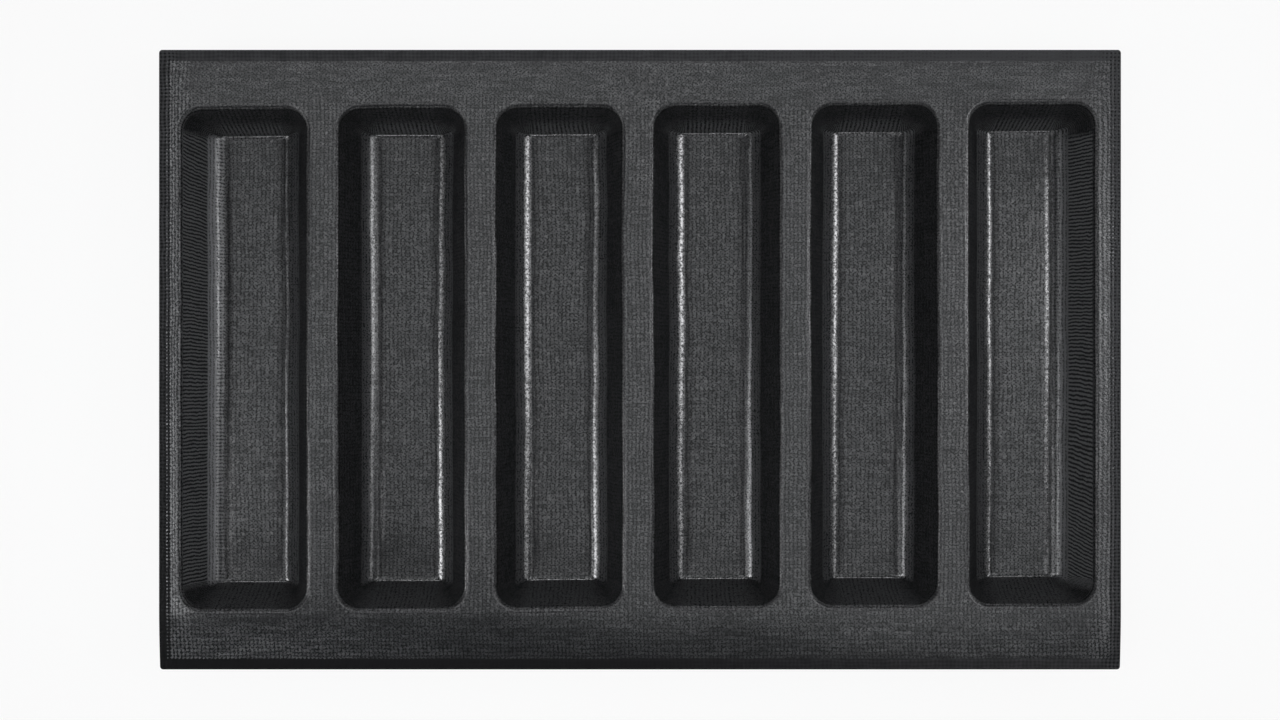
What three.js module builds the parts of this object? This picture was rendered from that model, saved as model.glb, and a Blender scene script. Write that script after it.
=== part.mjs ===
// Bread mould: a sheet of silicone-coated glass cloth, pressed into a row of loaf troughs,
// with its cut edge bound on all four sides by strips of plain silicone.
// Millimetres, +Z up. The origin is under the middle of the mould, on the surface it stands on.
// The troughs run along Y and are set out along X.
import * as THREE from "three";

// Driving dimensions: the cloth
const SHEET = 1.0; // thickness of the coated cloth
const TROUGH_COUNT = 6;
const LAND = 9.25; // flat deck between two trough rims
const SIDE_STRIP = 3.1; // flat deck between an outer trough rim and the side binding
const END_STRIP = 17.15; // flat deck between a trough rim and the end binding
const SEAM = 0.2; // gap at the line where a trough parts from the deck

// Driving dimensions: a trough, measured on its upper face
const FLOOR_WIDTH = 23.5;
const FLOOR_LENGTH = 178;
const FLOOR_CORNER = 0.5; // plan radius of the floor's corners
const BEVEL_RUN = 6.4; // how far the bevel along each long side of the floor reaches outwards
const BEVEL_RISE = 5.5; // how far that bevel climbs
const DEPTH = 27; // from the deck down to the floor
const WALL_DRAFT = 16.2; // degrees from upright
const RIM_BEND = 1.0; // radius of the rim's bend on its underside

// Driving dimensions: the edge binding
const BINDING_WIDTH = 4.5; // seen from above
const BINDING_LIP = 0.6; // thickness of the lips over and under the cloth
const BINDING_BACK = 0.8; // thickness outside the cloth's cut edge
const BINDING_CLEARANCE = 0.1; // between the binding's slot and the cloth
const MITRE_GAP = 0.15; // taken off each end of a binding at its mitre

// How finely round stretches are divided
const CORNER_STEPS = 5;
const RIM_STEPS = 4;

// Heights above the surface that the mould stands on
const floorTop = SHEET;
const deckTop = floorTop + DEPTH;

// Slopes of a trough's walls and bevels: outward run for each millimetre of height, and how far
// a surface one millimetre further out lies along the horizontal
const draft = THREE.MathUtils.degToRad(WALL_DRAFT);
const wallSlope = Math.tan(draft);
const wallSpread = 1 / Math.cos(draft);
const bevelSlope = BEVEL_RUN / BEVEL_RISE;
const bevelSpread = Math.hypot(1, bevelSlope);

// Where the side walls would meet the floor if there were no bevels
const wallFootHalfWidth = FLOOR_WIDTH / 2 + BEVEL_RUN - BEVEL_RISE * wallSlope;

// The rim rolls from the wall to the deck about this line
const rimRadius = RIM_BEND + SHEET;
const rimCentreHeight = deckTop - rimRadius;
const rimReach = (rimCentreHeight - floorTop) * wallSlope + rimRadius * wallSpread;
const rimHalfWidth = wallFootHalfWidth + rimReach;
const rimHalfLength = FLOOR_LENGTH / 2 + rimReach;
const rimCorner = FLOOR_CORNER + rimReach;

// Overall sizes follow from what lies side by side
const pitch = 2 * rimHalfWidth + LAND;
const overallWidth = (TROUGH_COUNT - 1) * pitch + 2 * (rimHalfWidth + SIDE_STRIP + BINDING_WIDTH);
const overallLength = 2 * (rimHalfLength + END_STRIP + BINDING_WIDTH);
const bindingReach = BINDING_BACK + BINDING_CLEARANCE; // from the outer edge in to the cloth

const coatedCloth = { color: 0x3a3b3d, roughness: 0.5, metalness: 0 };
const plainSilicone = { color: 0x242426, roughness: 0.6, metalness: 0 };

function namedMesh(name, geometry, finish) {
  const mesh = new THREE.Mesh(geometry, new THREE.MeshStandardMaterial(finish));
  mesh.name = name;
  return mesh;
}

// Plan outline of a rectangle with round corners, counter-clockwise
function roundedOutline(halfWidth, halfLength, radius) {
  const corners = [[1, 1], [-1, 1], [-1, -1], [1, -1]];
  return corners.flatMap(([sideX, sideY], quarter) =>
    Array.from({ length: CORNER_STEPS + 1 }, (_, step) => {
      const angle = (quarter + step / CORNER_STEPS) * (Math.PI / 2);
      return new THREE.Vector2(
        sideX * (halfWidth - radius) + radius * Math.cos(angle),
        sideY * (halfLength - radius) + radius * Math.sin(angle),
      );
    }),
  );
}

// A level of a trough below its rim. depthInCloth is 0 on the upper face and SHEET on the under face.
function wallLevel(height, depthInCloth) {
  const climb = height - floorTop;
  const wallReach = climb * wallSlope + depthInCloth * wallSpread;
  const bevelReach = climb * bevelSlope + depthInCloth * bevelSpread;
  return {
    halfWidth: Math.min(wallFootHalfWidth + wallReach, FLOOR_WIDTH / 2 + bevelReach),
    halfLength: FLOOR_LENGTH / 2 + wallReach,
    radius: FLOOR_CORNER + wallReach,
    height,
  };
}

// The height at which a bevel meets its wall, on the upper or the under face
function bevelTopHeight(depthInCloth) {
  const shift = depthInCloth * (wallSpread - bevelSpread);
  return floorTop + (wallFootHalfWidth - FLOOR_WIDTH / 2 + shift) / (bevelSlope - wallSlope);
}

// The levels of the rim's bend, from the wall up to the flat deck, at a radius about its centre line
function rimLevels(radius) {
  return Array.from({ length: RIM_STEPS + 1 }, (_, step) => {
    const angle = draft + (Math.PI / 2 - draft) * (step / RIM_STEPS);
    const pull = radius * Math.cos(angle);
    return {
      halfWidth: rimHalfWidth - pull,
      halfLength: rimHalfLength - pull,
      radius: rimCorner - pull,
      height: rimCentreHeight + radius * Math.sin(angle),
    };
  });
}

// Closed solid through a stack of levels, capped at the first and the last one
function loftLevels(levels) {
  const rings = levels.map(({ halfWidth, halfLength, radius, height }) =>
    roundedOutline(halfWidth, halfLength, radius).map((p) => [p.x, p.y, height]),
  );
  const count = rings[0].length;
  const last = (rings.length - 1) * count;
  const triangles = [];
  for (let base = 0; base < last; base += count) {
    for (let i = 0; i < count; i++) {
      const next = (i + 1) % count;
      const above = base + count;
      triangles.push(base + i, base + next, above + next);
      triangles.push(base + i, above + next, above + i);
    }
  }
  for (let i = 1; i < count - 1; i++) {
    triangles.push(0, i + 1, i);
    triangles.push(last, last + i, last + i + 1);
  }
  const geometry = new THREE.BufferGeometry();
  geometry.setAttribute("position", new THREE.Float32BufferAttribute(rings.flat(2), 3));
  geometry.setIndex(triangles);
  return geometry;
}

// A trough is one skin: up its under face, over the rim, and down its upper face to the floor
function loafTrough(name) {
  const underFace = [wallLevel(0, SHEET), wallLevel(bevelTopHeight(SHEET), SHEET), ...rimLevels(RIM_BEND)];
  const upperFace = [wallLevel(floorTop, 0), wallLevel(bevelTopHeight(0), 0), ...rimLevels(rimRadius)];
  return namedMesh(name, loftLevels([...underFace, ...upperFace.reverse()]), coatedCloth);
}

function troughPlace(number) {
  return (number - 1 - (TROUGH_COUNT - 1) / 2) * pitch;
}

// The deck is the flat cloth round the troughs, with an opening for each
function deckSheet() {
  const halfWidth = overallWidth / 2 - bindingReach;
  const halfLength = overallLength / 2 - bindingReach;
  const outline = new THREE.Shape([
    new THREE.Vector2(-halfWidth, -halfLength),
    new THREE.Vector2(halfWidth, -halfLength),
    new THREE.Vector2(halfWidth, halfLength),
    new THREE.Vector2(-halfWidth, halfLength),
  ]);
  for (let number = 1; number <= TROUGH_COUNT; number++) {
    const opening = roundedOutline(rimHalfWidth + SEAM, rimHalfLength + SEAM, rimCorner + SEAM);
    const place = new THREE.Vector2(troughPlace(number), 0);
    outline.holes.push(new THREE.Path(opening.map((point) => point.add(place))));
  }
  const geometry = new THREE.ExtrudeGeometry(outline, { depth: SHEET, bevelEnabled: false });
  const deck = namedMesh("deck", geometry, coatedCloth);
  deck.position.z = deckTop - SHEET;
  return deck;
}

// A binding is a channel that grips the cloth's edge, mitred at both ends.
// It is drawn along X with its back at y = 0, its mouth towards +Y and the cloth's middle at z = 0.
function bindingChannel(length) {
  const slot = SHEET / 2 + BINDING_CLEARANCE;
  const outside = slot + BINDING_LIP;
  const section = new THREE.Shape([
    new THREE.Vector2(0, -outside),
    new THREE.Vector2(BINDING_WIDTH, -outside),
    new THREE.Vector2(BINDING_WIDTH, -slot),
    new THREE.Vector2(BINDING_BACK, -slot),
    new THREE.Vector2(BINDING_BACK, slot),
    new THREE.Vector2(BINDING_WIDTH, slot),
    new THREE.Vector2(BINDING_WIDTH, outside),
    new THREE.Vector2(0, outside),
  ]);
  const geometry = new THREE.ExtrudeGeometry(section, { depth: length, bevelEnabled: false });
  const across = new THREE.Vector3(0, 1, 0);
  const up = new THREE.Vector3(0, 0, 1);
  const along = new THREE.Vector3(1, 0, 0);
  geometry.applyMatrix4(new THREE.Matrix4().makeBasis(across, up, along));
  const position = geometry.getAttribute("position");
  for (let i = 0; i < position.count; i++) {
    const mitredHalf = length / 2 - position.getY(i) - MITRE_GAP;
    position.setX(i, position.getX(i) > length / 2 ? mitredHalf : -mitredHalf);
  }
  return geometry;
}

// The four bindings, each turned so that its mouth faces the middle of the mould
function edgeBindings() {
  const edges = [
    { name: "edge_binding_front", length: overallWidth, out: overallLength / 2, turn: 0 },
    { name: "edge_binding_right", length: overallLength, out: overallWidth / 2, turn: Math.PI / 2 },
    { name: "edge_binding_back", length: overallWidth, out: overallLength / 2, turn: Math.PI },
    { name: "edge_binding_left", length: overallLength, out: overallWidth / 2, turn: -Math.PI / 2 },
  ];
  const bindings = new THREE.Group();
  for (const { name, length, out, turn } of edges) {
    const binding = namedMesh(name, bindingChannel(length), plainSilicone);
    binding.position.set(out * Math.sin(turn), -out * Math.cos(turn), deckTop - SHEET / 2);
    binding.rotation.z = turn;
    bindings.add(binding);
  }
  return bindings;
}

const breadMould = new THREE.Group();
breadMould.add(deckSheet());
for (let number = 1; number <= TROUGH_COUNT; number++) {
  const trough = loafTrough("loaf_trough_" + number);
  trough.position.x = troughPlace(number);
  breadMould.add(trough);
}
breadMould.add(edgeBindings());

export default breadMould;
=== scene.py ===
"""Bread mould: black silicone-coated glass cloth, pressed into a row of loaf troughs, with a band
cast over its edge."""

import math

import bpy
import numpy as np
from bpy.props import FloatProperty, FloatVectorProperty, PointerProperty
from bpy.types import Operator, Panel, PropertyGroup
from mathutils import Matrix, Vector


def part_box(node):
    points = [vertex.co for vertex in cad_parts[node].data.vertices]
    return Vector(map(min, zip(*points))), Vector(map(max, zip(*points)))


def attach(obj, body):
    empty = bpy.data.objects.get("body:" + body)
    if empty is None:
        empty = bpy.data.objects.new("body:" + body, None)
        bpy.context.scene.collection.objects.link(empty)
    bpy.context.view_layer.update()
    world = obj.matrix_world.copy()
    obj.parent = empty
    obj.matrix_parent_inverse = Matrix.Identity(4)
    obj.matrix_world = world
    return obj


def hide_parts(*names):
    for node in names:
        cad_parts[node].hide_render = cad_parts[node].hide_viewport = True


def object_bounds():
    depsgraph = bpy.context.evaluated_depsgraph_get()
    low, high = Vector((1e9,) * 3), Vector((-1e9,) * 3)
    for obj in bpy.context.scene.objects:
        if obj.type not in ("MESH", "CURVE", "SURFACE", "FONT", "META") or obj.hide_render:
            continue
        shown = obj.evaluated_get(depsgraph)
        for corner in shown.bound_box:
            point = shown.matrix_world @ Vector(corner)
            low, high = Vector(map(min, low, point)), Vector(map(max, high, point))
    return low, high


bl_info = {
    "name": "Bread Mould",
    "version": (1, 0, 0),
    "blender": (4, 5, 0),
    "location": "3D View > Sidebar > Bread Mould",
    "description": "Builds a bread mould of coated glass cloth round its packed frame",
    "category": "Add Mesh",
}

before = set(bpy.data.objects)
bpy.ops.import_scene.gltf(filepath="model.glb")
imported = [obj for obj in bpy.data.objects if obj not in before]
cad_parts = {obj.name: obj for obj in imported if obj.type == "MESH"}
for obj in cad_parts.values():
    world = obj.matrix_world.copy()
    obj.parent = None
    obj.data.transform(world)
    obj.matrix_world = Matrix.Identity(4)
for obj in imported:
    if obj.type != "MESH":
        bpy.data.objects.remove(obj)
CAD_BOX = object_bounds()
TROUGH_NODES = sorted(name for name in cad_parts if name.startswith("loaf_trough"))
TROUGH_LOW, TROUGH_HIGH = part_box(TROUGH_NODES[0])
TROUGH_RIM = (TROUGH_HIGH - TROUGH_LOW) / 2
DECK_LOW, DECK_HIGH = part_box("deck")
DECK_TOP = DECK_HIGH.z
FLOOR_TOP = DECK_HIGH.z - DECK_LOW.z
FRONT_LOW, FRONT_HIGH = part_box("edge_binding_front")
BAND_WIDTH = FRONT_HIGH.y - FRONT_LOW.y
CLOTH_FINISH = "black_woven_cloth"
BAND_FINISH = "black_cast_silicone"
SEED = 11

# Kept at the vertices for the finish: the threads' numbers, how flat the weave is pressed, how much coat
# has pooled there (below 0, how much is worn off) and how much painted light pales the threads, for light
# that shines through the cloth's openings.
THREAD_MAP = "threads"
CALM_MAP = "calm"
POLISH_MAP = "polish"
PAINTED_LIGHT_MAP = "painted_light"

# The threads: how strongly they pass over and under, how far they stray and wander, in threads, and how
# fast the tone changes from thread to thread and along each one.
OVER_UNDER = 0.5
THREAD_STRAY = 0.5
THREAD_WANDER = 1.4
TONE_APART = 7.31
TONE_DRIFT = 0.11

# Zones of the sheet: where each sets in and where it is full, in metres.
BELOW_DECK = (0.0265, 0.025)
LOW_ON_WALL = (0.017, 0.008)
END_MARGIN = (0.097, 0.104)
FRONT_MARGIN = (-0.096, -0.112)
SIDE_STRIP = (0.1715, 0.178)
SIDE_WALL_INSET = 0.0075
SIDE_WALL_END = (0.086, 0.0905)
BACK_WALL = (0.0885, 0.091)
RIGHT_SIDE = (0.1, 0.16)
RIGHT_CORNER = (0.09, 0.18)
LEFT_CORNER = (-0.05, -0.17)
SLANTING_STROKES = (-0.01, 0.08)
SHORT_EDGE = (FRONT_HIGH.x - 0.009, FRONT_HIGH.x - 0.004)

# What the press leaves in the weave and its coat, along the creases, at the ends and on the walls.
CREASE_REACH = 0.0022
CREASE_CALM = 0.68
END_CALM = 0.85
CORNER_CALM = 0.5
WALL_BLEND = 0.001
END_LINE = 2
RIM_LINES = 3
RIM_WEAR = -0.2
CREASE_WEAR = -0.7
END_WALL_WEAR = -0.8
FLANK_LINES = 2
FLANK_POLISH = 0.6
# Painted light on the far and the front end walls, the side walls and the bevels, for light that shines
# through the cloth's openings, and painted shade that takes part of it back in the trough's corners.
END_FADE = 3.8
FRONT_FADE = 0.95
WALL_FADE = 0.4
BEVEL_FADE = 3.4
CORNER_DARK = 0.85
CROWN_END = 0.025
LEAST_CORNER = 0.00005
RIM_SLACK = 0.0001

# For each trough, the share of polish on its left crease, on the floor beside that, on the floor beside
# the right crease and on that crease.
CREASE_GLOSS = (
    (0.0, -0.6, -0.6, -0.2),
    (0.3, -0.6, -0.6, 1.0),
    (0.9, -0.6, -0.6, 0.45),
    (1.0, -0.6, -0.6, 0.05),
    (0.9, -0.6, -0.6, -0.2),
    (0.8, -0.6, 1.0, -0.1),
)

# How the formed cloth strays: direction, breadth of its waves, share of the waviness, and weights.
STRAYS = (
    ("X", 0.034, 0.7, "loose"),
    ("Y", 0.05, 0.6, "loose"),
    ("Z", 0.065, 0.7, "lift"),
)
LOOSE_FROM = 0.02
BAND_SEGMENT = 0.004
CLOTH_SMOOTH = math.radians(60)
BAND_SMOOTH = math.radians(40)

# The stage, in metres, and the share of plain white in what the camera sees of it.
SENSOR_MM = 36.0
FLOOR_SIZE = 40.0
BACKDROP_RADIUS = 15.0
BACKDROP_HEIGHT = 12.0
BACKDROP_SIDES = 96
WHITE_SHARE = 0.9


class MouldCloth(PropertyGroup):
    """The coated cloth that the deck and the troughs are made of."""

    thickness: FloatProperty(
        name="Thickness",
        description="Thickness of the coated cloth below its thread crossings",
        default=0.00078,
        unit="LENGTH",
        precision=5,
    )
    gap_across: FloatProperty(
        name="Gap Across",
        description="Distance between threads, across the troughs",
        default=0.00155,
        unit="LENGTH",
        precision=5,
    )
    gap_along: FloatProperty(
        name="Gap Along",
        description="Distance between threads, along the troughs",
        default=0.00142,
        unit="LENGTH",
        precision=5,
    )
    relief: FloatProperty(
        name="Relief",
        description="Height of the thread crossings over the openings between threads",
        default=0.0002,
        unit="LENGTH",
        precision=5,
    )
    waviness: FloatProperty(
        name="Waviness",
        description="How far the formed cloth strays from its true shape",
        default=0.0016,
        unit="LENGTH",
        precision=5,
    )
    offset: FloatVectorProperty(
        name="Offset",
        description="How far the row of troughs sits off the middle of the sheet",
        default=(-0.0008, 0.0014),
        size=2,
        subtype="XYZ_LENGTH",
        precision=5,
    )
    skew: FloatProperty(
        name="Skew",
        description="How far the row of troughs is turned against the sheet's long edges",
        default=math.radians(0.37),
        subtype="ANGLE",
    )
    droop: FloatProperty(
        name="Droop",
        description="How far the front edge of the sheet hangs below the deck",
        default=0.0019,
        unit="LENGTH",
        precision=5,
    )
    silicone: FloatVectorProperty(
        name="Silicone",
        description="Colour of the coating in the openings between threads",
        default=(0.0015, 0.0016, 0.0018),
        subtype="COLOR",
    )
    thread: FloatVectorProperty(
        name="Thread",
        description="Colour of the coating on top of the threads",
        default=(0.03, 0.0303, 0.0315),
        subtype="COLOR",
    )
    # Painted light: the threads' colour where light shines through the cloth's openings, at the sheet's
    # sides and ends.
    through_lit_thread: FloatVectorProperty(
        name="Pale Thread",
        description="Colour on top of the threads at the sheet's sides and ends, where the coat is thin",
        default=(0.1, 0.101, 0.104),
        subtype="COLOR",
    )
    # Painted light: the threads' colour on the outermost side walls and bevels, painted pale for the
    # light that falls on them and shines through the cloth there.
    lit_bevel_thread: FloatVectorProperty(
        name="Bare Thread",
        description="Colour on top of the threads on the outermost bevels, where little coating is left",
        default=(0.18, 0.182, 0.187),
        subtype="COLOR",
    )


class MouldTrough(PropertyGroup):
    """One loaf trough, measured on its upper face."""

    floor_width: FloatProperty(
        name="Floor Width",
        description="Width of the flat floor between the creases along its sides",
        default=0.0235,
        unit="LENGTH",
    )
    floor_length: FloatProperty(
        name="Floor Length",
        description="Length of the flat floor between the end walls",
        default=0.178,
        unit="LENGTH",
    )
    floor_corner: FloatProperty(
        name="Floor Corner",
        description="Plan radius of the floor's corners",
        default=0.0005,
        unit="LENGTH",
    )
    crown: FloatProperty(
        name="Crown",
        description="How far the middle of the floor stands above its long sides",
        default=0.00025,
        unit="LENGTH",
        precision=5,
    )
    crown_run: FloatProperty(
        name="Crown Run",
        description="Distance over which the floor climbs from its long sides",
        default=0.00233,
        unit="LENGTH",
        precision=5,
    )
    cove_run: FloatProperty(
        name="Cove Run",
        description="How far the cove along each long side of the floor reaches outwards",
        default=0.00325,
        unit="LENGTH",
    )
    cove_tilt: FloatProperty(
        name="Cove Tilt",
        description="Tilt of the cove next to the floor",
        default=math.radians(16),
        subtype="ANGLE",
    )
    bevel_run: FloatProperty(
        name="Bevel Run",
        description="How far the cove and the bevel above it reach outwards",
        default=0.0064,
        unit="LENGTH",
    )
    bevel_rise: FloatProperty(
        name="Bevel Rise",
        description="How far the cove and the bevel above it climb",
        default=0.0039,
        unit="LENGTH",
    )
    wall_draft: FloatProperty(
        name="Wall Draft",
        description="Lean of the walls from upright",
        default=math.radians(16.2),
        subtype="ANGLE",
    )
    foot_bend: FloatProperty(
        name="Foot Bend",
        description="Radius between the floor and its coves",
        default=0.0012,
        unit="LENGTH",
    )
    cove_bend: FloatProperty(
        name="Cove Bend",
        description="Radius between the coves and the bevels above them",
        default=0.0115,
        unit="LENGTH",
    )
    knee_bend: FloatProperty(
        name="Knee Bend",
        description="Radius between the bevels and the side walls",
        default=0.0015,
        unit="LENGTH",
    )
    end_bend: FloatProperty(
        name="End Bend",
        description="Radius between the floor and the end walls",
        default=0.0016,
        unit="LENGTH",
    )
    rim_bend: FloatProperty(
        name="Rim Bend",
        description="Radius of the rim, from the walls to the deck",
        default=0.0013,
        unit="LENGTH",
    )
    rim_lip: FloatProperty(
        name="Rim Lip",
        description="Distance from the line where wall and deck would meet to the trough's outer edge",
        default=0.0015,
        unit="LENGTH",
    )


class MouldBinding(PropertyGroup):
    """The silicone band cast over the cloth's cut edge."""

    corner: FloatProperty(
        name="Corner",
        description="Plan radius of the sheet's outer corners",
        default=0.0012,
        unit="LENGTH",
    )
    edge_round: FloatProperty(
        name="Edge Round",
        description="Radius of the band's long edges",
        default=0.0007,
        unit="LENGTH",
    )
    bead: FloatVectorProperty(
        name="Bead",
        description="Height of the band's outer edge, on the sheet's long and short edges",
        default=(0.0017, 0.0014),
        size=2,
        subtype="XYZ_LENGTH",
        precision=5,
    )
    lip: FloatProperty(
        name="Lip",
        description="Height of the band where it runs out on the cloth",
        default=0.0012,
        unit="LENGTH",
    )
    grip: FloatVectorProperty(
        name="Grip",
        description="How far the cloth reaches into the band, on the sheet's long and short edges",
        default=(0.0013, 0.003),
        size=2,
        subtype="XYZ_LENGTH",
        precision=5,
    )
    colour: FloatVectorProperty(
        name="Colour",
        description="Colour of the plain silicone",
        default=(0.004, 0.0041, 0.0044),
        subtype="COLOR",
    )
    # Painted light: the colour the band pales to where more light falls on it, with the cloth's threads
    # showing faintly through.
    lit_colour: FloatVectorProperty(
        name="Thin Colour",
        description="Colour of the band where it is thin and the cloth shows through",
        default=(0.05, 0.0505, 0.053),
        subtype="COLOR",
    )


class MouldStage(PropertyGroup):
    """The camera, the lamps and the floor."""

    camera_height: FloatProperty(
        name="Camera Height",
        description="Distance of the camera above the deck",
        default=0.86,
        unit="LENGTH",
    )
    frame_share: FloatProperty(
        name="Frame Share",
        description="Share of the picture's width that the mould fills",
        default=962.4 / 1280,
        subtype="FACTOR",
    )
    side_lamp: FloatProperty(
        name="Side Lamps",
        description="Power of the soft lamp on each side",
        default=1.35,
        unit="POWER",
    )
    beam: FloatProperty(
        name="Side Beams",
        description="Power of the narrow beam on each side, which draws the glints along the floors",
        default=0.035,
        unit="POWER",
        precision=4,
    )
    beam_spread: FloatProperty(
        name="Beam Spread",
        description="Full angle of the narrow beams",
        default=math.radians(20),
        subtype="ANGLE",
    )
    upper_beam: FloatProperty(
        name="Upper Beam",
        description="Power of the narrow beam high up on the right, for a line along the last floor",
        default=0.006,
        unit="POWER",
        precision=4,
    )
    upper_spread: FloatProperty(
        name="Upper Beam Spread",
        description="Full angle of the narrow beam high up on the right",
        default=math.radians(9),
        subtype="ANGLE",
    )
    end_lamp: FloatProperty(
        name="End Lamps",
        description="Power of the soft lamp in front and of the one behind",
        default=0.083,
        unit="POWER",
        precision=4,
    )
    end_spread: FloatProperty(
        name="End Lamp Spread",
        description="Full angle of the lamps in front and behind",
        default=math.radians(40),
        subtype="ANGLE",
    )
    top_lamp: FloatProperty(
        name="Top Lamp",
        description="Power of the soft lamp overhead",
        default=6.6,
        unit="POWER",
    )
    upper_lamp: FloatProperty(
        name="Upper Lamps",
        description="Power of the soft lamp high up on each side",
        default=2.4,
        unit="POWER",
    )
    lamp_colour: FloatVectorProperty(
        name="Lamp Colour",
        description="Colour of all lamps",
        default=(0.965, 0.98, 1.0),
        subtype="COLOR",
    )
    world_light: FloatProperty(
        name="World Light",
        description="Strength of the even light from all round",
        default=0.07,
    )
    floor_colour: FloatVectorProperty(
        name="Floor",
        description="Colour of the floor",
        default=(0.9, 0.9, 0.9),
        subtype="COLOR",
    )


class BreadMouldSettings(PropertyGroup):
    """All that a user would change."""

    cloth: PointerProperty(type=MouldCloth)
    trough: PointerProperty(type=MouldTrough)
    binding: PointerProperty(type=MouldBinding)
    stage: PointerProperty(type=MouldStage)


class Value:
    """A node's output, for use in Python expressions. Each operation adds a Math node."""

    def __init__(self, finish, socket):
        self.finish = finish
        self.socket = socket

    def math(self, operation, *values):
        return self.finish.node("ShaderNodeMath", {"operation": operation}, dict(enumerate(values)))

    def __add__(self, other):
        return self.math("ADD", self, other)

    def __sub__(self, other):
        return self.math("SUBTRACT", self, other)

    def __rsub__(self, other):
        return self.math("SUBTRACT", other, self)

    def __mul__(self, other):
        return self.math("MULTIPLY", self, other)

    def size(self):
        return self.math("ABSOLUTE", self)

    def cosine(self):
        return self.math("COSINE", self)

    def rounded(self):
        return self.math("ROUND", self)

    def clamped(self):
        return self.math("MINIMUM", self.math("MAXIMUM", self, 0.0), 1.0)

    __radd__ = __add__
    __rmul__ = __mul__


class Finish:
    """The node tree of one material."""

    def __init__(self, name):
        self.material = bpy.data.materials.new(name)
        self.material.use_nodes = True
        self.tree = self.material.node_tree
        self.tree.nodes.clear()

    def node(self, kind, settings=None, inputs=None, output=0):
        """Adds a node, with its settings first and then the values or links of its sockets."""
        node = self.tree.nodes.new(kind)
        for name, value in (settings or {}).items():
            setattr(node, name, value)
        for name, value in (inputs or {}).items():
            socket = node.inputs[name]
            if isinstance(value, Value):
                self.tree.links.new(value.socket, socket)
            else:
                socket.default_value = value
        return Value(self, node.outputs[output]) if node.outputs else None

    def eased(self, value, start, end):
        """Rises softly from 0 where a value is at start to 1 where it is at end."""
        inputs = {"Value": value, "From Min": start, "From Max": end}
        return self.node("ShaderNodeMapRange", {"interpolation_type": "SMOOTHSTEP"}, inputs)

    def mixed(self, factor, first, second):
        """A colour between two, first at factor 0 and second at factor 1."""
        inputs = {0: factor, 6: first, 7: second}
        return self.node("ShaderNodeMix", {"data_type": "RGBA"}, inputs, output=2)

    def place(self):
        """The place of a spot, in metres."""
        return self.node("ShaderNodeTexCoord", output="Object")

    def axis(self, vector, name):
        """One coordinate of a vector."""
        return self.node("ShaderNodeSeparateXYZ", {}, {"Vector": vector}, output=name)

    def noted(self, name):
        """What a piece keeps at its vertices under this name."""
        return self.node("ShaderNodeAttribute", {"attribute_name": name}, output="Fac")

    def noise(self, scale, detail):
        """Cloudy unevenness that is fixed to the object, scale to the metre."""
        inputs = {"Vector": self.place(), "Scale": scale, "Detail": detail}
        return self.node("ShaderNodeTexNoise", {}, inputs)

    def thread_tone(self, number, run):
        """A tone from 0 to 1 for each thread, which drifts along its run."""
        inputs = {"X": number.rounded() * TONE_APART, "Y": run * TONE_DRIFT}
        spot = self.node("ShaderNodeCombineXYZ", {}, inputs)
        inputs = {"Vector": spot, "Scale": 1.0}
        drift = self.node("ShaderNodeTexNoise", {"noise_dimensions": "2D"}, inputs)
        return self.eased(drift, 0.25, 0.75)

    def bumped(self, height, distance):
        """A normal that follows a height."""
        inputs = {"Strength": 1.0, "Distance": distance, "Height": height}
        return self.node("ShaderNodeBump", {}, inputs)

    def surface(self, shader):
        self.node("ShaderNodeOutputMaterial", {}, {"Surface": shader})
        return self.material


def opaque(colour):
    return (*colour, 1.0)


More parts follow.
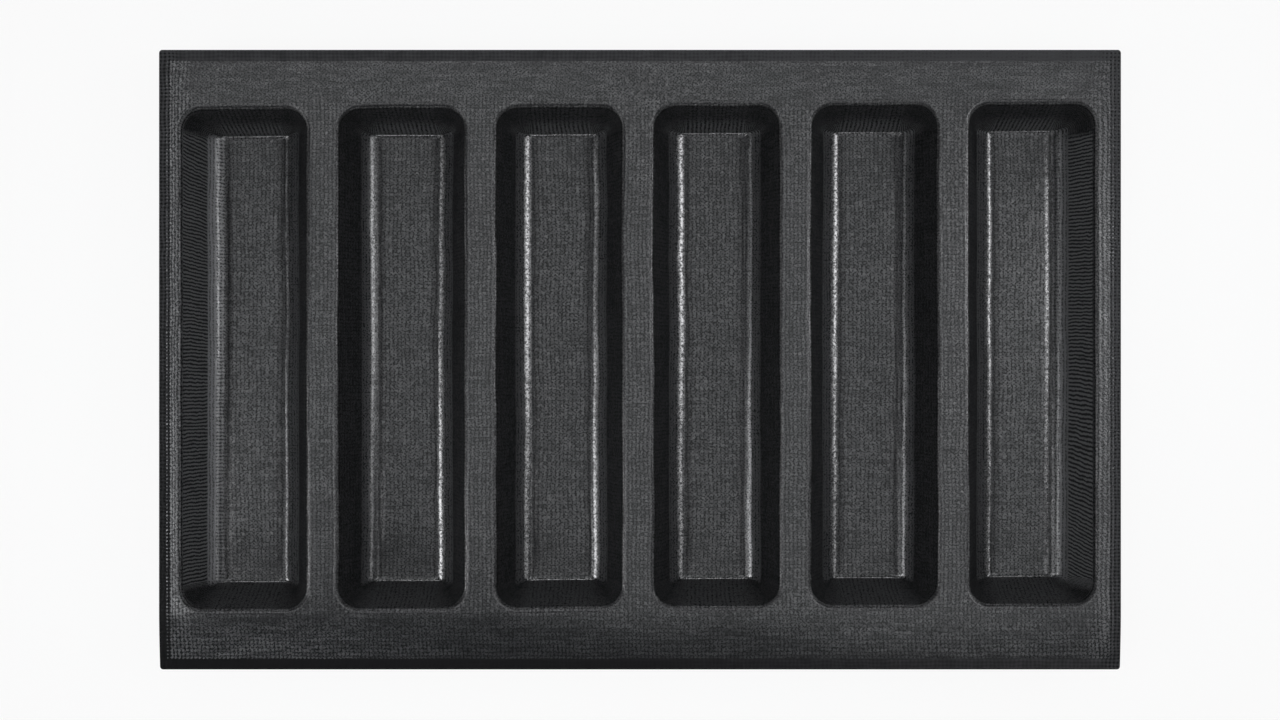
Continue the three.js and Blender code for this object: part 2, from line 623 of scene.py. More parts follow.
def coated_cloth_finish(cloth):
    """Woven glass threads under a black silicone coat that is thinner and paler on top of them, with
    painted light that pales the threads at the sheet's sides and ends, for light through the cloth's
    openings.
    """
    made = bpy.data.materials.get(CLOTH_FINISH)
    if made:
        return made
    finish = Finish(CLOTH_FINISH)
    threads = finish.node("ShaderNodeUVMap", {"uv_map": THREAD_MAP})
    across, along = (finish.axis(threads, name) for name in "XY")
    across = across + THREAD_STRAY * (finish.noise(170.0, 2.0) - 0.5)
    across = across + THREAD_WANDER * (finish.noise(31.0, 1.0) - 0.5)
    along = along + THREAD_STRAY * (finish.noise(190.0, 2.0) - 0.5)
    along = along + THREAD_WANDER * (finish.noise(37.0, 1.0) - 0.5)
    over = (across * math.pi).cosine() * (along * math.pi).cosine() * OVER_UNDER
    warp = (across * math.tau).cosine()
    weft = (along * math.tau).cosine()
    calm, polish, painted_light = (finish.noted(name) for name in (CALM_MAP, POLISH_MAP, PAINTED_LIGHT_MAP))
    height = (warp * (0.5 + 0.5 * over) + weft * (0.5 - 0.5 * over)) * (1.0 - calm)
    worn = (0.0 - polish).clamped()
    pooled = polish.clamped()

    # Unevenness: of each crossing and each thread, then from fine grain to clouds.
    crossing = finish.node("ShaderNodeCombineXYZ", {}, {"X": across.rounded(), "Y": along.rounded()})
    spark = finish.node("ShaderNodeTexWhiteNoise", {"noise_dimensions": "2D"}, {"Vector": crossing})
    warp_tone = finish.thread_tone(across, along)
    weft_tone = finish.thread_tone(along, across)
    tone = weft_tone + finish.eased(over, -0.2, 0.2) * (warp_tone - weft_tone)
    grain = finish.eased(finish.noise(1750.0, 1.0), 0.3, 0.7)
    flecked = finish.eased(finish.noise(1150.0, 1.0), 0.3, 0.7)
    mottled = finish.eased(finish.noise(430.0, 2.0), 0.3, 0.7)
    cloudy = finish.noise(90.0, 3.0)

    # Zones of the sheet.
    breadth, depth, level = (finish.axis(finish.place(), name) for name in "XYZ")
    side = breadth.size()
    end = depth.size()
    below_deck = finish.eased(level, *BELOW_DECK)
    in_front = finish.eased(depth, *FRONT_MARGIN)
    on_margin = finish.eased(end, *END_MARGIN) * (1.0 - below_deck)
    on_right = finish.eased(breadth, *RIGHT_SIDE)
    on_corner = 0.3 * finish.eased(breadth, *RIGHT_CORNER) + finish.eased(breadth, *LEFT_CORNER)
    on_corner = on_corner * in_front * on_margin
    on_side = finish.eased(side + SIDE_WALL_INSET * below_deck, *SIDE_STRIP)
    on_side = on_side * (1.0 - below_deck * finish.eased(end, *SIDE_WALL_END))
    on_side = on_side * (1.0 - 0.62 * on_right * (1.0 - below_deck))
    on_end = finish.eased(depth, *BACK_WALL) * finish.eased(level, *LOW_ON_WALL)
    on_end = 0.6 * on_end * finish.eased(calm, 0.45, 0.2)
    on_ledge = (0.35 * (painted_light - 0.6)).clamped()

    # How far a spot counts as the top of a thread.
    streaky = tone + 0.6 * on_margin * (weft_tone - tone)
    chance = streaky + (0.1 + 0.2 * below_deck + 0.55 * on_side).clamped() * (spark - streaky)
    clear = 0.9 + 0.25 * below_deck - 0.55 * on_margin + 0.8 * on_side
    cover = (0.36 * warp + 0.18 * weft) * clear
    cover = cover + 0.22 * in_front * on_margin * (warp + weft)
    cover = cover + (0.3 + 0.2 * below_deck) * warp * weft
    cover = cover + 0.24 * on_side * ((across + along) * math.pi).cosine()
    cover = cover + (0.08 + 0.08 * below_deck) * mottled
    cover = cover + (1.2 + 0.25 * below_deck) * grain
    on_top = finish.eased(cover, -0.2, 1.45)

    # Painted light that shines through the cloth's openings: strokes on the walls at the sheet's sides,
    # and ribs on its far end walls.
    askew = finish.eased(depth * (1.0 - 2.0 * on_right), *SLANTING_STROKES)
    bent = 0.6 * (finish.noise(230.0, 1.0) - 0.5)
    stroke = ((along + 0.16 * askew * across + bent) * math.tau).cosine()
    stroke = finish.eased(stroke + 0.9 * grain, 0.1, 1.0) * (0.3 + 1.4 * weft_tone)
    grainy = 0.25 + 0.75 * finish.eased(grain + 0.5 * warp + 0.3 * spark, 0.0, 1.1)
    ribs = on_side * (0.06 + stroke + on_ledge * (grainy - stroke)) * (2.2 - on_ledge)
    ribs = ribs + on_end * finish.eased(warp, -0.3, 0.5)

    # Colour. Paler threads at the sheet's sides and front corners, on the bevels and end walls, and low
    # on the far end walls are painted light, for light that shines through the cloth's openings.
    thread_and_light = on_top * (0.35 + 0.9 * chance) * (0.75 + 0.5 * cloudy) * (1.0 + 0.4 * painted_light)
    thread_and_light = thread_and_light + below_deck * (ribs - thread_and_light * (on_side + on_end).clamped())
    pale = (on_side + on_end + on_corner + 0.08 * painted_light).clamped()
    thread = finish.mixed(pale, opaque(cloth.thread), opaque(cloth.through_lit_thread))
    # Painted light: the outermost side walls and bevels are painted paler still.
    side_wall_light = on_side * below_deck * (0.4 + 0.6 * on_ledge * (1.0 - 1.6 * on_right))
    thread = finish.mixed(side_wall_light, thread, opaque(cloth.lit_bevel_thread))

    # Shine of the coat on the threads, and of what has pooled in the creases.
    bright = finish.eased(spark, 0.86, 1.0)
    shine = 0.24 + 0.05 * below_deck + (0.32 + 0.12 * below_deck) * chance + 0.3 * bright
    coat = (0.2 - 0.04 * below_deck + on_top * shine) * (1.0 - 0.27 * below_deck)
    sparkle = (0.15 + 1.3 * flecked) * (0.6 + 0.7 * spark)
    shader = finish.node(
        "ShaderNodeBsdfPrincipled",
        {},
        {
            "Base Color": finish.mixed(thread_and_light.clamped(), opaque(cloth.silicone), thread),
            "Roughness": 0.4 + 0.06 * cloudy + 0.06 * chance + 0.48 * worn,
            "Specular IOR Level": 0.12,
            "Specular Tint": opaque((0.93, 0.96, 1.0)),
            "Coat Weight": (coat + pooled * (sparkle - coat)).clamped() * (1.0 - worn),
            "Coat Roughness": 0.2,
            "Coat IOR": 1.8,
            "Normal": finish.bumped(height, 0.3 * cloth.relief),
        },
    )
    return finish.surface(shader)


def plain_silicone_finish(cloth, binding):
    """Matt black silicone, through which the cloth's threads still show faintly, with painted light that
    pales it towards the back and the right.
    """
    made = bpy.data.materials.get(BAND_FINISH)
    if made:
        return made
    finish = Finish(BAND_FINISH)
    across, along = (finish.axis(finish.place(), name) for name in "XY")
    cloudy = finish.noise(220.0, 3.0)
    wander = 7.0 * (finish.noise(130.0, 2.0) - 0.5)
    warp = (across * (math.tau / cloth.gap_across) + wander).cosine()
    weft = (along * (math.tau / cloth.gap_along) + wander).cosine()
    on_short_edge = finish.eased(across.size(), *SHORT_EDGE)
    threads = (warp + weft) * cloudy * (0.35 + 0.65 * on_short_edge)
    half = CAD_BOX[1]
    # Painted light: the band is paler towards the back and towards the right.
    lit = 0.41 + (0.24 * across.size() + 0.3 * across) * (1.0 / half.x) + along * (0.35 / half.y)
    shown = (lit * (0.25 + 1.5 * cloudy + 1.1 * threads)).clamped()
    shader = finish.node(
        "ShaderNodeBsdfPrincipled",
        {},
        {
            "Base Color": finish.mixed(shown, opaque(binding.colour), opaque(binding.lit_colour)),
            "Roughness": 0.5 + 0.2 * cloudy,
            "Specular IOR Level": 0.1,
            "Normal": finish.bumped(threads, 0.3 * cloth.relief),
        },
    )
    return finish.surface(shader)


def only(piece):
    """Leaves nothing selected but this piece."""
    bpy.ops.object.select_all(action="DESELECT")
    piece.select_set(True)
    bpy.context.view_layer.objects.active = piece


def modify(piece, kind, **settings):
    """Adds a modifier to a piece and applies it."""
    only(piece)
    modifier = piece.modifiers.new(kind.title(), kind)
    for name, value in settings.items():
        setattr(modifier, name, value)
    bpy.ops.object.modifier_apply(modifier=modifier.name)


def select(piece, kind, chosen):
    """Opens a piece in edit mode with only these of its faces or edges selected."""
    only(piece)
    mesh = piece.data
    for parts in (mesh.vertices, mesh.edges, mesh.polygons):
        parts.foreach_set("select", np.zeros(len(parts), bool))
    chosen_parts = {"FACE": mesh.polygons, "EDGE": mesh.edges}[kind]
    chosen_parts.foreach_set("select", chosen)
    bpy.ops.object.mode_set(mode="EDIT")
    bpy.ops.mesh.select_mode(type=kind)


def vertex_places(mesh):
    places = np.empty(len(mesh.vertices) * 3, np.float32)
    mesh.vertices.foreach_get("co", places)
    return places.reshape(-1, 3).astype(float)


def edge_vertices(mesh):
    """The two vertices of each edge."""
    pairs = np.empty(len(mesh.edges) * 2, np.int32)
    mesh.edges.foreach_get("vertices", pairs)
    return pairs.reshape(-1, 2)


def edge_ends(mesh):
    """The places of both ends of each edge."""
    return vertex_places(mesh)[edge_vertices(mesh)]


def place_vertices(mesh, places):
    mesh.vertices.foreach_set("co", np.asarray(places, np.float32).ravel())
    mesh.update()


def wear(piece, name, node, finish):
    """Names a finished piece, gives it its finish, hangs it under the root body and hides the part of the
    node it stands for.
    """
    piece.name = name
    piece.data.name = name
    piece.data.materials.clear()
    piece.data.materials.append(finish)
    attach(piece, "root")
    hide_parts(node)


def woven_grid(columns, rows):
    """A flat cloth with a line of vertices on each thread and one between threads. Returns the piece
    and each vertex's column and row. One unit of its thread map is one thread."""
    bpy.ops.object.select_all(action="DESELECT")
    bpy.ops.mesh.primitive_grid_add(x_subdivisions=columns, y_subdivisions=rows, size=1.0)
    piece = bpy.context.object
    mesh = piece.data
    places = vertex_places(mesh)
    column = np.rint((places[:, 0] + 0.5) * columns).astype(int)
    row = np.rint((places[:, 1] + 0.5) * rows).astype(int)
    thread_map = mesh.uv_layers[0]
    thread_map.name = THREAD_MAP
    spots = np.empty(len(mesh.loops) * 2, np.float32)
    thread_map.uv.foreach_get("vector", spots)
    spots = spots.reshape(-1, 2) * (columns / 2, rows / 2)
    thread_map.uv.foreach_set("vector", spots.astype(np.float32).ravel())
    return piece, column, row


def weigh(piece, name, weights):
    """A vertex group of the given weights, in steps of a hundredth."""
    group = piece.vertex_groups.new(name=name)
    steps = np.rint(np.asarray(weights) * 100).astype(int)
    for step in np.unique(steps):
        group.add(np.flatnonzero(steps == step).tolist(), step / 100, "REPLACE")


def weave_weights(column, row):
    """About 1 at the thread crossings, 0 in the openings and a half between two crossings."""
    chance = np.random.default_rng(SEED).random((row.max() + 1, column.max() + 1))[row, column]
    return (1.0 - 0.5 * (column % 2) - 0.5 * (row % 2)) * (0.75 + 0.25 * chance)


def note(piece, name, values):
    """Keeps a number for each vertex, for the finish to read."""
    kept = piece.data.attributes.new(name, "FLOAT", "POINT")
    kept.data.foreach_set("value", np.asarray(values, np.float32))


def inside_edge(places):
    """How far places lie inside the shown edge of the cloth, on either side and on either end."""
    return np.array((FRONT_HIGH.x, -FRONT_LOW.y)) - BAND_WIDTH - abs(places[:, :2])


def settled(places, cloth):
    """Where places come to lie when the row of troughs sits a little askew in the sheet."""
    room = inside_edge(np.array([(TROUGH_LOW.x, TROUGH_HIGH.y)]))
    hold = np.clip(inside_edge(places) / room, 0.0, 1.0).min(axis=1)
    moved = places.copy()
    moved[:, 0] += hold * cloth.offset[0]
    moved[:, 1] += hold * (cloth.offset[1] + math.tan(cloth.skew) * places[:, 0])
    over_front = np.clip((TROUGH_LOW.y - places[:, 1]) / (TROUGH_LOW.y - FRONT_LOW.y), 0.0, 1.0)
    moved[:, 2] -= cloth.droop * over_front ** 1.5
    return moved


def looseness(places):
    """From 0 at the bound edge of the sheet to 1 well inside it."""
    share = np.clip(inside_edge(places).min(axis=1) / LOOSE_FROM, 0.0, 1.0)
    return share * share * (3.0 - 2.0 * share)


def rim_edge_vertices(mesh):
    """The vertices on the free edges of an open mesh."""
    used = np.empty(len(mesh.loops), np.int32)
    mesh.loops.foreach_get("edge_index", used)
    free = np.bincount(used, minlength=len(mesh.edges)) == 1
    return np.unique(edge_vertices(mesh)[free])


def stray(piece, cloth):
    """Lets a piece stray from its true shape, as a formed cloth does. Where pieces meet, they stray
    alike."""
    places = vertex_places(piece.data)
    height = (places[:, 2] - TROUGH_LOW.z) / (DECK_TOP - TROUGH_LOW.z)
    loose = looseness(places)
    weigh(piece, "loose", loose)
    weigh(piece, "lift", loose * np.clip(0.1 + 0.9 * height, 0.0, 1.0))
    place_vertices(piece.data, settled(places, cloth))
    for direction, breadth, share, weights in STRAYS:
        clouds = bpy.data.textures.get("stray_" + direction)
        if clouds is None:
            clouds = bpy.data.textures.new("stray_" + direction, "CLOUDS")
            clouds.noise_scale = breadth
            clouds.noise_depth = 2
        modify(
            piece,
            "DISPLACE",
            texture=clouds,
            texture_coords="GLOBAL",
            direction=direction,
            strength=cloth.waviness * share,
            mid_level=0.5,
            vertex_group=weights,
        )


def thicken(piece, cloth):
    """Turns the woven skin into a closed cloth and smooths its shading."""
    modify(piece, "SOLIDIFY", thickness=cloth.thickness, offset=-1.0)
    only(piece)
    piece.vertex_groups.clear()
    bpy.ops.object.shade_smooth_by_angle(angle=CLOTH_SMOOTH)


def bent_path(corners, radii, steps=48):
    """Points along a line through corners, whose inner corners are rounded to these radii."""
    corners = [np.array(corner) for corner in corners]
    path = [corners[0]]
    for before, corner, after, radius in zip(corners, corners[1:], corners[2:], radii):
        entry = math.atan2(*(corner - before)[::-1])
        turn = math.atan2(*(after - corner)[::-1]) - entry
        side = math.copysign(1.0, turn)
        start = corner - radius * math.tan(abs(turn) / 2) * np.array((math.cos(entry), math.sin(entry)))
        centre = start + side * radius * np.array((-math.sin(entry), math.cos(entry)))
        for angle in np.linspace(entry, entry + turn, steps):
            path.append(centre + side * radius * np.array((math.sin(angle), -math.cos(angle))))
    path.append(corners[-1])
    return np.array(path)


def evenly_along(path, count):
    """count + 1 points, evenly spaced along a path."""
    reach = np.concatenate(([0.0], np.cumsum(np.hypot(*np.diff(path, axis=0).T))))
    stops = np.linspace(0.0, reach[-1], count + 1)
    return np.stack([np.interp(stops, reach, path[:, axis]) for axis in (0, 1)], axis=1)


def path_length(path):
    return float(np.hypot(*np.diff(path, axis=0).T).sum())


def trough_sections(trough, flat_half):
    """The upper face of a trough in section, from the edge of its flat floor to its rim: over a long
    side, and over an end."""
    foot = trough.floor_width / 2
    side_path = bent_path(
        [
            (flat_half[0], FLOOR_TOP),
            (foot, FLOOR_TOP),
            (foot + trough.cove_run, FLOOR_TOP + trough.cove_run * math.tan(trough.cove_tilt)),
            (foot + trough.bevel_run, FLOOR_TOP + trough.bevel_rise),
            (TROUGH_RIM.x - trough.rim_lip, DECK_TOP),
            (TROUGH_RIM.x, DECK_TOP),
        ],
        [trough.foot_bend, trough.cove_bend, trough.knee_bend, trough.rim_bend],
    )
    end_path = bent_path(
        [
            (flat_half[1], FLOOR_TOP),
            (trough.floor_length / 2, FLOOR_TOP),
            (TROUGH_RIM.y - trough.rim_lip, DECK_TOP),
            (TROUGH_RIM.y, DECK_TOP),
        ],
        [trough.end_bend, trough.rim_bend],
    )
    return side_path, end_path


def pressed_trough(cloth, trough):
    """A woven skin drawn into a trough, centred on the origin. Its floor is a plain grid, and from the
    floor's edge each further line of the weave is one level higher up the walls."""
    flat_half = np.array((trough.floor_width, trough.floor_length)) / 2
    flat_half[0] -= trough.foot_bend * math.tan(trough.cove_tilt / 2)
    flat_half[1] -= trough.end_bend * math.tan((math.pi / 2 - trough.wall_draft) / 2)
    side_path, end_path = trough_sections(trough, flat_half)
    levels = 2 * round(path_length(side_path) / cloth.gap_across)
    half_width, height = evenly_along(side_path, levels).T
    half_length = np.interp(height, end_path[:, 1], end_path[:, 0])
    half_length[0], half_length[-1] = flat_half[1], TROUGH_RIM.y
    corner = np.maximum(half_length - (trough.floor_length / 2 - trough.floor_corner), LEAST_CORNER)

    floor_columns = 2 * round(flat_half[0] / cloth.gap_across)
    floor_rows = 2 * round(flat_half[1] / cloth.gap_along)
    columns, rows = 2 * (floor_columns + levels), 2 * (floor_rows + levels)
    piece, column, row = woven_grid(columns, rows)
    step_x, step_y = column - columns // 2, row - rows // 2
    climb_x = np.maximum(abs(step_x) - floor_columns, 0)
    climb_y = np.maximum(abs(step_y) - floor_rows, 0)
    level = np.maximum(climb_x, climb_y)
    x = np.where(climb_x > 0, half_width[level], abs(step_x) / floor_columns * flat_half[0])
    y = np.where(climb_y > 0, half_length[level], abs(step_y) / floor_rows * flat_half[1])

    # Round the corners, the vertices of one level are evenly spaced along it.
    turned = (climb_x > 0) & (climb_y > 0)
    ring = level[turned]
    lap = np.where(climb_x[turned] == ring, climb_y[turned], 2 * ring - climb_x[turned]) / (2 * ring)
    radius = corner[ring]
    centre_x, centre_y = half_width[ring] - radius, half_length[ring] - radius
    straight_y, arc = centre_y - flat_half[1], radius * math.pi / 2
    straight_x = centre_x - flat_half[0]
    whole = straight_y + arc + straight_x
    travel = lap * whole
    angle = np.clip((travel - straight_y) / radius, 0.0, math.pi / 2)
    x[turned] = centre_x + radius * np.cos(angle) - np.maximum(travel - straight_y - arc, 0.0)
    y[turned] = centre_y + radius * np.sin(angle) - np.maximum(straight_y - travel, 0.0)

    z = height[level]
    from_side = np.clip((flat_half[0] - x) / trough.crown_run, 0.0, 1.0)
    from_end = np.clip((flat_half[1] - y) / CROWN_END, 0.0, 1.0)
    z += trough.crown * (1.0 - np.cos(math.pi * from_side)) * (1.0 - np.cos(math.pi * from_end)) / 4
    place_vertices(piece.data, np.stack((np.copysign(x, step_x), np.copysign(y, step_y), z), axis=1))

    # What the press leaves at each vertex, for the finish.
    squeeze = np.ones(len(x))
    squeeze[turned] = np.minimum(whole / (2 * ring) / (cloth.gap_along / 2), 1.0)
    on_wall = np.clip((z - FLOOR_TOP - trough.bevel_rise) / WALL_BLEND, 0.0, 1.0)
    foot = trough.floor_width / 2
    mid_cove = (foot + (foot + trough.cove_run)) / 2
    crease = np.exp(-((x - mid_cove) / CREASE_REACH) ** 2) * (climb_y == 0)
    end_line = (climb_y > 0) & (level <= END_LINE)
    from_middle = abs(step_x)
    flank = (from_middle < floor_columns) & (from_middle >= floor_columns - FLANK_LINES) & (climb_y == 0)
    crease = np.maximum(crease, FLANK_POLISH * flank)
    calm = np.where(end_line, END_CALM, CREASE_CALM * crease)
    calm = np.maximum(CORNER_CALM * (1.0 - squeeze), calm)
    note(piece, CALM_MAP, calm)
    # Painted light for the finish, for light that shines through the cloth's openings: it rises over the
    # bevels, is less on the side walls, on the far end walls more the lower down, and even on the front
    # ones. Painted shade takes part of it back in the corners, and none is left at the rim.
    on_bevel = np.clip((x - mid_cove) / (trough.bevel_run - trough.cove_run), 0.0, 1.0)
    side_fade = BEVEL_FADE * on_bevel + (WALL_FADE - BEVEL_FADE) * on_wall
    shade = np.clip(1.25 - (z - FLOOR_TOP) / (0.6 * (DECK_TOP - FLOOR_TOP)), 0.2, 1.0)
    end_fade = END_FADE * np.where(step_y > 0, shade, FRONT_FADE)
    from_flat = np.minimum(climb_x, climb_y) / np.maximum(level, 1)
    painted_light = np.where(climb_y > climb_x, end_fade, side_fade) * (1.0 - CORNER_DARK * from_flat)
    note(piece, PAINTED_LIGHT_MAP, painted_light * np.clip((levels - level) / RIM_LINES, 0.0, 1.0))
    polish = np.where(climb_y > 0, np.where(end_line, 1.0, END_WALL_WEAR), crease - on_wall)
    polish[(from_middle == floor_columns) & (climb_y == 0)] = CREASE_WEAR
    note(piece, POLISH_MAP, np.maximum(polish, RIM_WEAR * (levels - level) ** 2))
    calm[level == levels] = 1.0
    weigh(piece, "weave", 0.5 + (weave_weights(column, row) - 0.5) * (1.0 - calm))
    return piece


def polish_creases(piece, trough, shares):
    """Gives the left crease, the floor beside it, the floor beside the right crease and that crease
    their own share of polish."""
    places = vertex_places(piece.data)
    kept = piece.data.attributes[POLISH_MAP]
    polish = np.empty(len(places), np.float32)
    kept.data.foreach_get("value", polish)
    along_floor = (polish > 0) & (abs(places[:, 1]) < trough.floor_length / 2 - trough.end_bend)
    bounds = (-trough.floor_width / 2, 0.0, trough.floor_width / 2)
    polish[along_floor] *= np.array(shares)[np.searchsorted(bounds, places[along_floor, 0])]
    kept.data.foreach_set("value", polish)


def spaced(marks, gap):
    """Lines about half a gap apart from the first mark to the last, an even count between two marks."""
    lines = [np.array([marks[0]])]
    for start, end in zip(marks, marks[1:]):
        count = 2 * max(round((end - start) / gap), 1)
        lines.append(np.linspace(start, end, count + 1)[1:])
    return np.concatenate(lines)


def from_mouth(places, centre, corner):
    """How far places lie outside a trough's rim in plan, less than 0 inside it."""
    offset = abs(places[:, :2] - (centre, 0.0)) - (TROUGH_RIM.x - corner, TROUGH_RIM.y - corner)
    outside = np.hypot(*np.maximum(offset, 0.0).T)
    return outside + np.minimum(offset.max(axis=1), 0.0) - corner


class BREADMOULD_OT_weave_deck(Operator):
    """Weave the flat deck round the troughs"""

    bl_idname = "bread_mould.weave_deck"
    bl_label = "Weave Deck"

    def execute(self, context):
        settings = context.scene.bread_mould
        cloth, trough, binding = settings.cloth, settings.trough, settings.binding
        rim = TROUGH_RIM
        corner = rim.y - trough.floor_length / 2 + trough.floor_corner
        centres = [sum(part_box(node), Vector()).x / 2 for node in TROUGH_NODES]
        half_width = FRONT_HIGH.x - BAND_WIDTH + binding.grip[1]
        half_length = -FRONT_LOW.y - BAND_WIDTH + binding.grip[0]
        marks = [edge for centre in centres for edge in (centre - rim.x, centre + rim.x)]
        lines_x = spaced([-half_width, *marks, half_width], cloth.gap_across)
        lines_y = spaced([-half_length, -rim.y, rim.y, half_length], cloth.gap_along)
        deck, column, row = woven_grid(len(lines_x) - 1, len(lines_y) - 1)
        height = np.full(len(column), DECK_TOP)
        place_vertices(deck.data, np.stack((lines_x[column], lines_y[row], height), axis=1))
        weigh(deck, "weave", weave_weights(column, row))

        middles = np.empty(len(deck.data.polygons) * 3, np.float32)
        deck.data.polygons.foreach_get("center", middles)
        middles = middles.reshape(-1, 3).astype(float)
        gaps = [from_mouth(middles, centre, corner) for centre in centres]
        select(deck, "FACE", np.min(gaps, axis=0) < 0)
        bpy.ops.mesh.delete(type="FACE")
        bpy.ops.object.mode_set(mode="OBJECT")

        places = vertex_places(deck.data)
        edge = rim_edge_vertices(deck.data)
        for centre in centres:
            offset = places[edge, :2] - (centre, 0.0)
            middle = np.copysign((rim.x - corner, rim.y - corner), offset)
            turned = (abs(offset) > abs(middle)).all(axis=1)
            turned &= (abs(offset) < (rim.x + RIM_SLACK, rim.y + RIM_SLACK)).all(axis=1)
            spoke = (offset - middle)[turned]
            spoke *= corner / np.hypot(*spoke.T)[:, None]
            places[edge[turned], :2] = (centre, 0.0) + middle[turned] + spoke
        place_vertices(deck.data, places)
        deck.vertex_groups["weave"].add(edge.tolist(), 0.5, "REPLACE")

        modify(deck, "DISPLACE", vertex_group="weave", strength=cloth.relief, mid_level=0.0)
        stray(deck, cloth)
        thicken(deck, cloth)
        wear(deck, "woven_deck", "deck", coated_cloth_finish(cloth))
        return {"FINISHED"}


class BREADMOULD_OT_press_troughs(Operator):
    """Press one trough, then copy it to each place in the row"""

    bl_idname = "bread_mould.press_troughs"
    bl_label = "Press Troughs"

    def execute(self, context):
        settings = context.scene.bread_mould
        cloth = settings.cloth
        finish = coated_cloth_finish(cloth)
        pattern = pressed_trough(cloth, settings.trough)
        modify(pattern, "DISPLACE", vertex_group="weave", strength=cloth.relief, mid_level=0.0)
        for number, node in enumerate(TROUGH_NODES, start=1):
            low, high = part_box(node)
            only(pattern)
            bpy.ops.object.duplicate()
            trough = context.object
            polish_creases(trough, settings.trough, CREASE_GLOSS[(number - 1) % len(CREASE_GLOSS)])
            bpy.ops.transform.translate(value=((low.x + high.x) / 2, (low.y + high.y) / 2, 0.0))
            bpy.ops.object.transform_apply(location=True)
            stray(trough, cloth)
            thicken(trough, cloth)
            wear(trough, f"pressed_trough_{number}", node, finish)
        only(pattern)
        bpy.ops.object.delete()
        return {"FINISHED"}


class BREADMOULD_OT_cast_bindings(Operator):
    """Cast the band over the sheet's front and right edges, and copy both to the far sides"""

    bl_idname = "bread_mould.cast_bindings"
    bl_label = "Cast Bindings"

    def execute(self, context):
        settings = context.scene.bread_mould
        finish = plain_silicone_finish(settings.cloth, settings.binding)
        half = CAD_BOX[1]
        for turn, length, out, bead, names in (
            (0.0, half.x, half.y, settings.binding.bead[0], ("front", "back")),
            (math.pi / 2, half.y, half.x, settings.binding.bead[1], ("right", "left")),
        ):
            strip = self.cast_strip(settings.binding, length, out, bead)
            self.turn_about(strip, turn)
            bpy.ops.object.duplicate()
            copy = context.object
            self.turn_about(copy, math.pi)
            for piece, name in ((strip, names[0]), (copy, names[1])):
                place_vertices(piece.data, settled(vertex_places(piece.data), settings.cloth))
                only(piece)
                bpy.ops.object.shade_smooth_by_angle(angle=BAND_SMOOTH)
                wear(piece, f"cast_{name}_edge", "edge_binding_" + name, finish)
        return {"FINISHED"}

    def cast_strip(self, binding, half_length, out, bead):
        """A rounded strip along X whose outer face is at y = -out, mitred at both ends."""
        width = BAND_WIDTH
        middle = (0.0, width / 2 - out, (FRONT_LOW.z + FRONT_HIGH.z) / 2)
        bpy.ops.object.select_all(action="DESELECT")
        bpy.ops.mesh.primitive_cube_add(size=1.0, location=middle, scale=(2 * half_length, width, bead))
        strip = bpy.context.object
        bpy.ops.object.transform_apply(location=True, scale=True)

        inner = np.array([face.normal.y > 0.5 for face in strip.data.polygons])
        select(strip, "FACE", inner)
        bpy.ops.transform.resize(value=(1.0, 1.0, binding.lip / bead))
        bpy.ops.object.mode_set(mode="OBJECT")

        ends = edge_ends(strip.data)
        upright = np.ptp(ends[:, :, 2], axis=1) > binding.lip / 2
        outer = ends[:, 0, 1] < width / 2 - out
        select(strip, "EDGE", upright & outer)
        bpy.ops.mesh.bevel(offset=binding.corner, segments=4)
        bpy.ops.object.mode_set(mode="OBJECT")

        ends = edge_ends(strip.data)
        outer = np.minimum(ends[:, 0, 1], ends[:, 1, 1]) < binding.corner - out
        level = np.ptp(ends[:, :, 2], axis=1) < binding.lip / 2
        select(strip, "EDGE", level & outer)
        bpy.ops.mesh.bevel(offset=binding.edge_round, segments=3)
        bpy.ops.object.mode_set(mode="OBJECT")

        ends = edge_ends(strip.data)
        select(strip, "EDGE", np.ptp(ends[:, :, 0], axis=1) > half_length)
        bpy.ops.mesh.subdivide(number_cuts=round(2 * half_length / BAND_SEGMENT))
        for side in (-1, 1):
            bpy.ops.mesh.select_all(action="SELECT")
            bpy.ops.mesh.bisect(
                plane_co=(side * half_length, -out, 0.0),
                plane_no=(side, 1.0, 0.0),
                use_fill=True,
                clear_outer=True,
            )
        bpy.ops.object.mode_set(mode="OBJECT")
        return strip

    def turn_about(self, piece, angle):
        """Turns a piece about the upright line through the middle of the mould."""
        only(piece)
        bpy.ops.transform.rotate(value=-angle, orient_axis="Z", center_override=(0.0, 0.0, 0.0))
        bpy.ops.object.transform_apply(location=True, rotation=True)


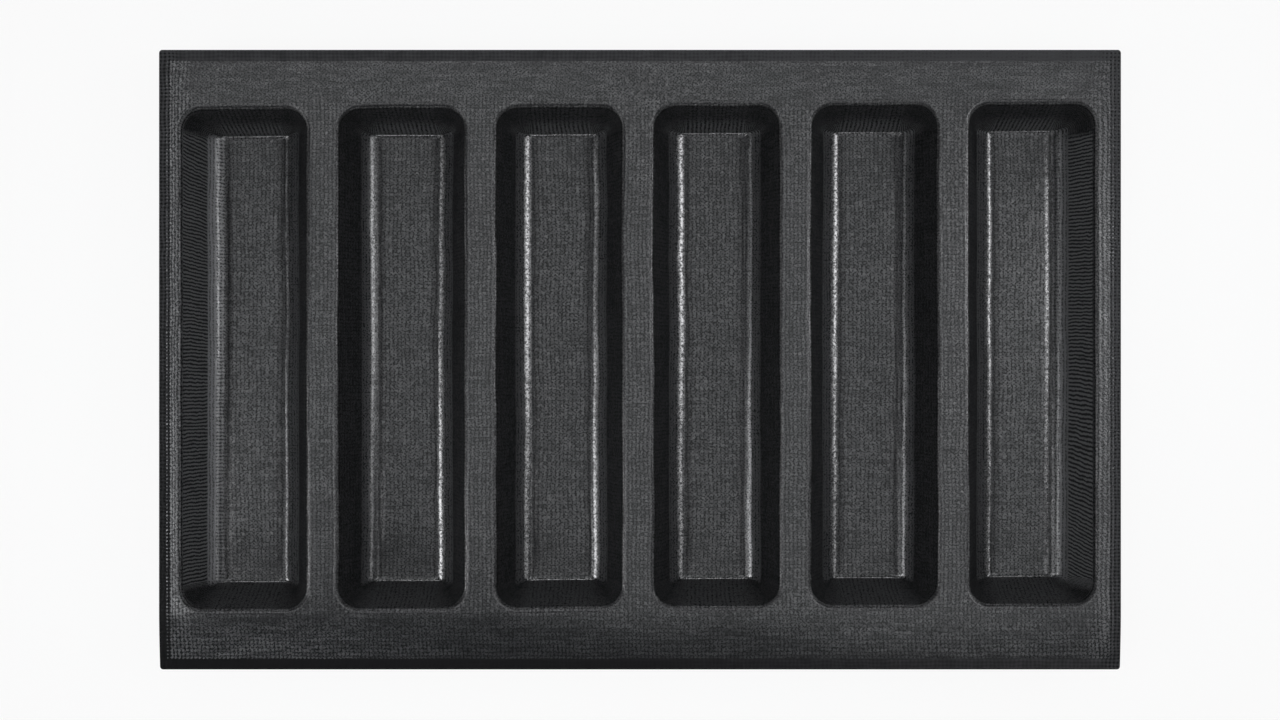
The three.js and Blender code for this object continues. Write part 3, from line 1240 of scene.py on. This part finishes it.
class BREADMOULD_OT_set_stage(Operator):
    """Set up the camera, the lamps and the floor"""

    bl_idname = "bread_mould.set_stage"
    bl_label = "Set Stage"

    def execute(self, context):
        stage = context.scene.bread_mould.stage
        scene = context.scene
        scene.view_settings.view_transform = "Standard"
        self.camera(scene, stage)
        right, left = (0.7, 0.085, 0.72), (-0.72, -0.17, 0.72)
        middle, wide = (0.0, 0.0, 0.0), math.pi
        beam, end, upper = stage.beam_spread, stage.end_spread, stage.upper_spread
        for name, power, place, size, target, spread in (
            ("right_softbox", stage.side_lamp, right, (0.75, 0.2), middle, wide),
            ("left_softbox", stage.side_lamp, left, (0.75, 0.2), middle, wide),
            ("right_beam", stage.beam, right, (0.22, 0.34), (0.05, 0.03, 0.0), beam),
            ("left_beam", stage.beam, left, (0.26, 0.24), (-0.05, -0.06, 0.0), beam),
            ("front_softbox", stage.end_lamp, (0.0, -0.6, 0.5), (0.8, 0.05), (0.0, 0.09, 0.0), end),
            ("back_softbox", stage.end_lamp, (0.0, 0.6, 0.5), (0.8, 0.05), (0.0, -0.09, 0.0), end),
            ("top_softbox", stage.top_lamp, (0.06, 0.085, 1.7), (1.5, 0.95), middle, wide),
            ("high_right_softbox", stage.upper_lamp / 2, (0.78, 0.1, 1.7), (0.25, 0.6), middle, wide),
            ("high_right_beam", stage.upper_beam, (0.9, 0.1, 1.7), (0.3, 0.12), (0.18, 0.03, 0.0), upper),
            ("high_left_softbox", stage.upper_lamp, (-0.78, -0.25, 1.7), (0.25, 0.6), middle, wide),
        ):
            self.lamp(stage, name, power, place, size, target, spread)
        self.world(scene, stage)
        self.floor(stage)
        return {"FINISHED"}

    def camera(self, scene, stage):
        lens = bpy.data.cameras.new("camera")
        camera = bpy.data.objects.new("camera", lens)
        scene.collection.objects.link(camera)
        low, high = CAD_BOX
        camera.location = ((low.x + high.x) / 2, (low.y + high.y) / 2, DECK_TOP + stage.camera_height)
        lens.sensor_width = SENSOR_MM
        lens.lens = SENSOR_MM * stage.camera_height * stage.frame_share / (high.x - low.x)
        scene.camera = camera

    def lamp(self, stage, name, power, place, size, target, spread):
        light = bpy.data.lights.new(name, "AREA")
        light.shape = "RECTANGLE"
        light.size, light.size_y = size
        light.energy = power
        light.color = stage.lamp_colour
        light.spread = spread
        lamp = bpy.data.objects.new(name, light)
        bpy.context.scene.collection.objects.link(lamp)
        lamp.location = place
        lamp.visible_camera = False
        aim = Vector(target) - lamp.location
        lamp.rotation_euler = aim.to_track_quat("-Z", "Y").to_euler()

    def world(self, scene, stage):
        world = bpy.data.worlds.new("studio")
        scene.world = world
        world.use_nodes = True
        sky = world.node_tree.nodes["Background"]
        sky.inputs["Color"].default_value = opaque((1.0, 1.0, 1.0))
        sky.inputs["Strength"].default_value = stage.world_light

    def floor(self, stage):
        bpy.ops.object.select_all(action="DESELECT")
        bpy.ops.mesh.primitive_plane_add(size=FLOOR_SIZE)
        floor = bpy.context.object
        floor.name = "floor"
        bpy.ops.mesh.primitive_cylinder_add(
            vertices=BACKDROP_SIDES,
            radius=BACKDROP_RADIUS,
            depth=BACKDROP_HEIGHT,
            end_fill_type="NOTHING",
            location=(0.0, 0.0, BACKDROP_HEIGHT / 2),
        )
        backdrop = bpy.context.object
        backdrop.name = "backdrop"
        finish = Finish("pale_floor")
        paper = finish.node("ShaderNodeBsdfDiffuse", {}, {"Color": opaque(stage.floor_colour)})
        glow = finish.node("ShaderNodeEmission", {}, {"Color": opaque((1.0, 1.0, 1.0))})
        kinds = ("Is Camera Ray", "Is Glossy Ray", "Is Transmission Ray")
        camera, gloss, glass = (finish.node("ShaderNodeLightPath", output=kind) for kind in kinds)
        seen = WHITE_SHARE * (camera + gloss + glass).clamped()
        white = finish.surface(finish.node("ShaderNodeMixShader", {}, {0: seen, 1: paper, 2: glow}))
        for screen in (floor, backdrop):
            screen.data.materials.append(white)


class BREADMOULD_PT_panel(Panel):
    """Lists the steps that build the mould, and their settings"""

    bl_label = "Bread Mould"
    bl_idname = "BREADMOULD_PT_panel"
    bl_space_type = "VIEW_3D"
    bl_region_type = "UI"
    bl_category = "Bread Mould"

    def draw(self, context):
        for operator in OPERATORS:
            self.layout.operator(operator.bl_idname)
        settings = context.scene.bread_mould
        for group in (settings.cloth, settings.trough, settings.binding, settings.stage):
            box = self.layout.box()
            for name in group.__annotations__:
                box.prop(group, name)


OPERATORS = (
    BREADMOULD_OT_weave_deck,
    BREADMOULD_OT_press_troughs,
    BREADMOULD_OT_cast_bindings,
    BREADMOULD_OT_set_stage,
)
CLASSES = (
    MouldCloth,
    MouldTrough,
    MouldBinding,
    MouldStage,
    BreadMouldSettings,
    *OPERATORS,
    BREADMOULD_PT_panel,
)


def register():
    for cls in CLASSES:
        bpy.utils.register_class(cls)
    bpy.types.Scene.bread_mould = PointerProperty(type=BreadMouldSettings)


def unregister():
    del bpy.types.Scene.bread_mould
    for cls in reversed(CLASSES):
        bpy.utils.unregister_class(cls)


def main():
    register()
    bpy.ops.bread_mould.weave_deck()
    bpy.ops.bread_mould.press_troughs()
    bpy.ops.bread_mould.cast_bindings()
    bpy.ops.bread_mould.set_stage()


if __name__ == "__main__":
    main()
